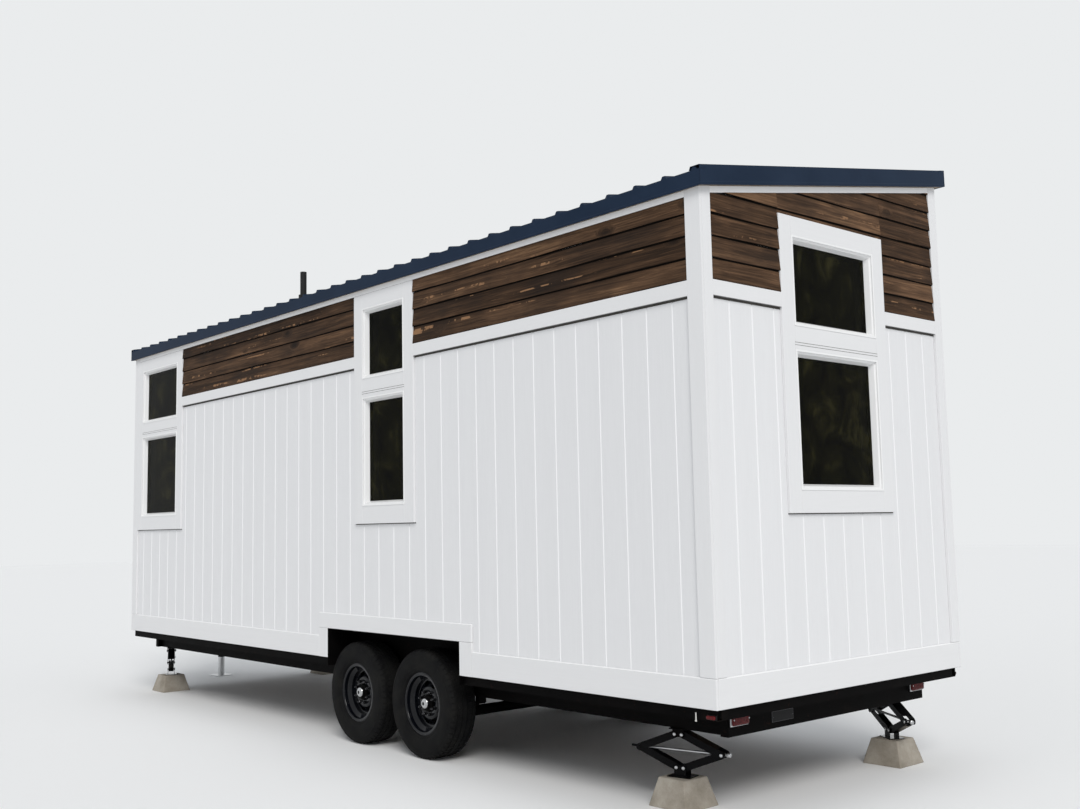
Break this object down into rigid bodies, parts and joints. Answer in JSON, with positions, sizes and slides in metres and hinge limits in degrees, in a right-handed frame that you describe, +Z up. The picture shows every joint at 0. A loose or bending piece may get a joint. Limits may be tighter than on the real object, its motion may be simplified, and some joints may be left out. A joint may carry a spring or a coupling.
{
  "type": "tiny house on wheels",
  "caption": "Small timber house on a tandem-axle trailer, with a single-pitch ribbed metal roof, white panel walls, dark lapped boards, stacked windows and folding scissor jacks.",
  "frame": {"origin": "on the ground under the middle of the whole outline, tongue included", "axes": "+X along the house to its rear end, +Y across it to its high side, +Z up"},
  "size_m": [9.4059, 2.634, 4.0804],
  "materials": {
    "framing": "plain sawn and sheathed framing",
    "white_siding": "white painted panel siding with a fine grain",
    "white_trim": "white painted grained trim boards",
    "window_vinyl": "white vinyl window frame",
    "window_glass": "dark insulated glass",
    "brown_stain": "rough lapped boards in dark brown stain",
    "navy_metal": "navy painted steel sheet",
    "vent_black": "black vent pipe and boot",
    "frame_black": "black painted trailer steel",
    "concrete": "cast grey concrete",
    "red_lens": "red lamp lens",
    "zinc": "zinc plated steel",
    "tyre": "black road tyre",
    "wheel_black": "gloss black wheel",
    "jack_black": "black painted pressed steel"
  },
  "bodies": {
    "root": {"floor": "framing", "left_wall": "framing", "right_wall": "framing", "rear_wall": "framing", "front_wall": "framing", "siding": "white_siding", "corner_boards": "white_trim", "skirt_boards": "white_trim", "belt_and_frieze_boards": "white_trim", "window_casings": "white_trim", "window_frames": "window_vinyl", "window_glass": "window_glass", "door": "white_trim", "cedar_boards": "brown_stain", "roof_deck": "framing", "roof_panels": "navy_metal", "roof_trim": "navy_metal", "vent_pipe": "vent_black", "tail_lights": "red_lens", "main_rails": "frame_black", "crossmembers": "frame_black", "tongue_rails": "frame_black", "coupler": "frame_black", "axles": "frame_black", "leaf_springs": "frame_black", "wheel_wells": "frame_black", "pier_blocks": "concrete"},
    "left_front_wheel": {"left_front_tyre": "tyre", "left_front_wheel": "wheel_black"},
    "left_rear_wheel": {"left_rear_tyre": "tyre", "left_rear_wheel": "wheel_black"},
    "right_front_wheel": {"right_front_tyre": "tyre", "right_front_wheel": "wheel_black"},
    "right_rear_wheel": {"right_rear_tyre": "tyre", "right_rear_wheel": "wheel_black"},
    "tongue_jack_leg": {"tongue_jack_leg": "zinc"},
    "rear_left_jack_crank_upper_arm": {"rear_left_jack_crank_upper_arm": "jack_black"},
    "rear_left_jack_crank_lower_arm": {"rear_left_jack_crank_lower_arm": "jack_black"},
    "rear_left_jack_nut_upper_arm": {"rear_left_jack_nut_upper_arm": "jack_black"},
    "rear_left_jack_nut_lower_arm": {"rear_left_jack_nut_lower_arm": "jack_black"},
    "rear_left_jack_foot": {"rear_left_jack_foot": "jack_black"},
    "rear_left_jack_screw": {"rear_left_jack_screw": "zinc"},
    "rear_right_jack_crank_upper_arm": {"rear_right_jack_crank_upper_arm": "jack_black"},
    "rear_right_jack_crank_lower_arm": {"rear_right_jack_crank_lower_arm": "jack_black"},
    "rear_right_jack_nut_upper_arm": {"rear_right_jack_nut_upper_arm": "jack_black"},
    "rear_right_jack_nut_lower_arm": {"rear_right_jack_nut_lower_arm": "jack_black"},
    "rear_right_jack_foot": {"rear_right_jack_foot": "jack_black"},
    "rear_right_jack_screw": {"rear_right_jack_screw": "zinc"},
    "front_left_jack_crank_upper_arm": {"front_left_jack_crank_upper_arm": "jack_black"},
    "front_left_jack_crank_lower_arm": {"front_left_jack_crank_lower_arm": "jack_black"},
    "front_left_jack_nut_upper_arm": {"front_left_jack_nut_upper_arm": "jack_black"},
    "front_left_jack_nut_lower_arm": {"front_left_jack_nut_lower_arm": "jack_black"},
    "front_left_jack_foot": {"front_left_jack_foot": "jack_black"},
    "front_left_jack_screw": {"front_left_jack_screw": "zinc"},
    "front_right_jack_crank_upper_arm": {"front_right_jack_crank_upper_arm": "jack_black"},
    "front_right_jack_crank_lower_arm": {"front_right_jack_crank_lower_arm": "jack_black"},
    "front_right_jack_nut_upper_arm": {"front_right_jack_nut_upper_arm": "jack_black"},
    "front_right_jack_nut_lower_arm": {"front_right_jack_nut_lower_arm": "jack_black"},
    "front_right_jack_foot": {"front_right_jack_foot": "jack_black"},
    "front_right_jack_screw": {"front_right_jack_screw": "zinc"}
  },
  "joints": [
    {"name": "left_front_wheel_spin", "type": "hinge", "parent": "root", "child": "left_front_wheel", "pos_m": [1.0115, -1.1345, 0.385], "axis": [0, 1, 0], "continuous": true},
    {"name": "left_rear_wheel_spin", "type": "hinge", "parent": "root", "child": "left_rear_wheel", "pos_m": [1.8715, -1.1345, 0.385], "axis": [0, 1, 0], "continuous": true},
    {"name": "right_front_wheel_spin", "type": "hinge", "parent": "root", "child": "right_front_wheel", "pos_m": [1.0115, 1.0945, 0.385], "axis": [0, 1, 0], "continuous": true},
    {"name": "right_rear_wheel_spin", "type": "hinge", "parent": "root", "child": "right_rear_wheel", "pos_m": [1.8715, 1.0945, 0.385], "axis": [0, 1, 0], "continuous": true},
    {"name": "tongue_jack_slide", "type": "slide", "parent": "root", "child": "tongue_jack_leg", "axis": [0, 0, 1], "range_m": [0, 0.197]},
    {"name": "rear_left_jack_crank_upper_pivot", "type": "hinge", "parent": "root", "child": "rear_left_jack_crank_upper_arm", "pos_m": [4.1259, -0.94971, 0.409], "axis": [-0.225, 0.9744, 0], "range_deg": [-13.2, 0]},
    {"name": "rear_left_jack_crank_elbow", "type": "hinge", "parent": "rear_left_jack_crank_upper_arm", "child": "rear_left_jack_crank_lower_arm", "pos_m": [4.36662, -0.89414, 0.31315], "axis": [-0.225, 0.9744, 0], "range_deg": [0, 26.41]},
    {"name": "rear_left_jack_nut_upper_pivot", "type": "hinge", "parent": "root", "child": "rear_left_jack_nut_upper_arm", "pos_m": [4.0801, -0.96029, 0.409], "axis": [-0.225, 0.9744, 0], "range_deg": [0, 13.2]},
    {"name": "rear_left_jack_nut_elbow", "type": "hinge", "parent": "rear_left_jack_nut_upper_arm", "child": "rear_left_jack_nut_lower_arm", "pos_m": [3.83938, -1.01586, 0.31315], "axis": [-0.225, 0.9744, 0], "range_deg": [-26.41, 0]},
    {"name": "rear_left_jack_foot_pivot", "type": "hinge", "parent": "rear_left_jack_crank_lower_arm", "child": "rear_left_jack_foot", "pos_m": [4.1259, -0.94971, 0.2173], "axis": [-0.225, 0.9744, 0], "range_deg": [-13.2, 0]},
    {"name": "rear_left_jack_screw_trunnion", "type": "hinge", "parent": "rear_left_jack_crank_upper_arm", "child": "rear_left_jack_screw", "pos_m": [4.36662, -0.89414, 0.31315], "axis": [-0.225, 0.9744, 0], "range_deg": [0, 13.2]},
    {"name": "rear_right_jack_crank_upper_pivot", "type": "hinge", "parent": "root", "child": "rear_right_jack_crank_upper_arm", "pos_m": [4.32871, 0.9022, 0.409], "axis": [0.5446, 0.8387, 0], "range_deg": [-13.2, 0]},
    {"name": "rear_right_jack_crank_elbow", "type": "hinge", "parent": "rear_right_jack_crank_upper_arm", "child": "rear_right_jack_crank_lower_arm", "pos_m": [4.53591, 0.76764, 0.31315], "axis": [0.5446, 0.8387, 0], "range_deg": [0, 26.41]},
    {"name": "rear_right_jack_nut_upper_pivot", "type": "hinge", "parent": "root", "child": "rear_right_jack_nut_upper_arm", "pos_m": [4.28929, 0.9278, 0.409], "axis": [0.5446, 0.8387, 0], "range_deg": [0, 13.2]},
    {"name": "rear_right_jack_nut_elbow", "type": "hinge", "parent": "rear_right_jack_nut_upper_arm", "child": "rear_right_jack_nut_lower_arm", "pos_m": [4.08209, 1.06236, 0.31315], "axis": [0.5446, 0.8387, 0], "range_deg": [-26.41, 0]},
    {"name": "rear_right_jack_foot_pivot", "type": "hinge", "parent": "rear_right_jack_crank_lower_arm", "child": "rear_right_jack_foot", "pos_m": [4.32871, 0.9022, 0.2173], "axis": [0.5446, 0.8387, 0], "range_deg": [-13.2, 0]},
    {"name": "rear_right_jack_screw_trunnion", "type": "hinge", "parent": "rear_right_jack_crank_upper_arm", "child": "rear_right_jack_screw", "pos_m": [4.53591, 0.76764, 0.31315], "axis": [0.5446, 0.8387, 0], "range_deg": [0, 13.2]},
    {"name": "front_left_jack_crank_upper_pivot", "type": "hinge", "parent": "root", "child": "front_left_jack_crank_upper_arm", "pos_m": [-3.10047, -0.94544, 0.409], "axis": [-0.4067, -0.9135, 0], "range_deg": [-13.2, 0]},
    {"name": "front_left_jack_crank_elbow", "type": "hinge", "parent": "front_left_jack_crank_upper_arm", "child": "front_left_jack_crank_lower_arm", "pos_m": [-3.32617, -0.84495, 0.31315], "axis": [-0.4067, -0.9135, 0], "range_deg": [0, 26.41]},
    {"name": "front_left_jack_nut_upper_pivot", "type": "hinge", "parent": "root", "child": "front_left_jack_nut_upper_arm", "pos_m": [-3.05753, -0.96456, 0.409], "axis": [-0.4067, -0.9135, 0], "range_deg": [0, 13.2]},
    {"name": "front_left_jack_nut_elbow", "type": "hinge", "parent": "front_left_jack_nut_upper_arm", "child": "front_left_jack_nut_lower_arm", "pos_m": [-2.83183, -1.06505, 0.31315], "axis": [-0.4067, -0.9135, 0], "range_deg": [-26.41, 0]},
    {"name": "front_left_jack_foot_pivot", "type": "hinge", "parent": "front_left_jack_crank_lower_arm", "child": "front_left_jack_foot", "pos_m": [-3.10047, -0.94544, 0.2173], "axis": [-0.4067, -0.9135, 0], "range_deg": [-13.2, 0]},
    {"name": "front_left_jack_screw_trunnion", "type": "hinge", "parent": "front_left_jack_crank_upper_arm", "child": "front_left_jack_screw", "pos_m": [-3.32617, -0.84495, 0.31315], "axis": [-0.4067, -0.9135, 0], "range_deg": [0, 13.2]},
    {"name": "front_right_jack_crank_upper_pivot", "type": "hinge", "parent": "root", "child": "front_right_jack_crank_upper_arm", "pos_m": [-3.10047, 0.90544, 0.409], "axis": [0.4067, -0.9135, 0], "range_deg": [-13.2, 0]},
    {"name": "front_right_jack_crank_elbow", "type": "hinge", "parent": "front_right_jack_crank_upper_arm", "child": "front_right_jack_crank_lower_arm", "pos_m": [-3.32617, 0.80495, 0.31315], "axis": [0.4067, -0.9135, 0], "range_deg": [0, 26.41]},
    {"name": "front_right_jack_nut_upper_pivot", "type": "hinge", "parent": "root", "child": "front_right_jack_nut_upper_arm", "pos_m": [-3.05753, 0.92456, 0.409], "axis": [0.4067, -0.9135, 0], "range_deg": [0, 13.2]},
    {"name": "front_right_jack_nut_elbow", "type": "hinge", "parent": "front_right_jack_nut_upper_arm", "child": "front_right_jack_nut_lower_arm", "pos_m": [-2.83183, 1.02505, 0.31315], "axis": [0.4067, -0.9135, 0], "range_deg": [-26.41, 0]},
    {"name": "front_right_jack_foot_pivot", "type": "hinge", "parent": "front_right_jack_crank_lower_arm", "child": "front_right_jack_foot", "pos_m": [-3.10047, 0.90544, 0.2173], "axis": [0.4067, -0.9135, 0], "range_deg": [-13.2, 0]},
    {"name": "front_right_jack_screw_trunnion", "type": "hinge", "parent": "front_right_jack_crank_upper_arm", "child": "front_right_jack_screw", "pos_m": [-3.32617, 0.80495, 0.31315], "axis": [0.4067, -0.9135, 0], "range_deg": [0, 13.2]}
  ],
  "couplings": [
    {"joint": "rear_left_jack_crank_elbow", "follows": "rear_left_jack_crank_upper_pivot", "ratio": -2},
    {"joint": "rear_left_jack_foot_pivot", "follows": "rear_left_jack_crank_upper_pivot", "ratio": 1},
    {"joint": "rear_left_jack_screw_trunnion", "follows": "rear_left_jack_crank_upper_pivot", "ratio": -1},
    {"joint": "rear_left_jack_nut_upper_pivot", "follows": "rear_left_jack_crank_upper_pivot", "ratio": -1},
    {"joint": "rear_left_jack_nut_elbow", "follows": "rear_left_jack_crank_upper_pivot", "ratio": 2},
    {"joint": "rear_right_jack_crank_elbow", "follows": "rear_right_jack_crank_upper_pivot", "ratio": -2},
    {"joint": "rear_right_jack_foot_pivot", "follows": "rear_right_jack_crank_upper_pivot", "ratio": 1},
    {"joint": "rear_right_jack_screw_trunnion", "follows": "rear_right_jack_crank_upper_pivot", "ratio": -1},
    {"joint": "rear_right_jack_nut_upper_pivot", "follows": "rear_right_jack_crank_upper_pivot", "ratio": -1},
    {"joint": "rear_right_jack_nut_elbow", "follows": "rear_right_jack_crank_upper_pivot", "ratio": 2},
    {"joint": "front_left_jack_crank_elbow", "follows": "front_left_jack_crank_upper_pivot", "ratio": -2},
    {"joint": "front_left_jack_foot_pivot", "follows": "front_left_jack_crank_upper_pivot", "ratio": 1},
    {"joint": "front_left_jack_screw_trunnion", "follows": "front_left_jack_crank_upper_pivot", "ratio": -1},
    {"joint": "front_left_jack_nut_upper_pivot", "follows": "front_left_jack_crank_upper_pivot", "ratio": -1},
    {"joint": "front_left_jack_nut_elbow", "follows": "front_left_jack_crank_upper_pivot", "ratio": 2},
    {"joint": "front_right_jack_crank_elbow", "follows": "front_right_jack_crank_upper_pivot", "ratio": -2},
    {"joint": "front_right_jack_foot_pivot", "follows": "front_right_jack_crank_upper_pivot", "ratio": 1},
    {"joint": "front_right_jack_screw_trunnion", "follows": "front_right_jack_crank_upper_pivot", "ratio": -1},
    {"joint": "front_right_jack_nut_upper_pivot", "follows": "front_right_jack_crank_upper_pivot", "ratio": -1},
    {"joint": "front_right_jack_nut_elbow", "follows": "front_right_jack_crank_upper_pivot", "ratio": 2}
  ]
}
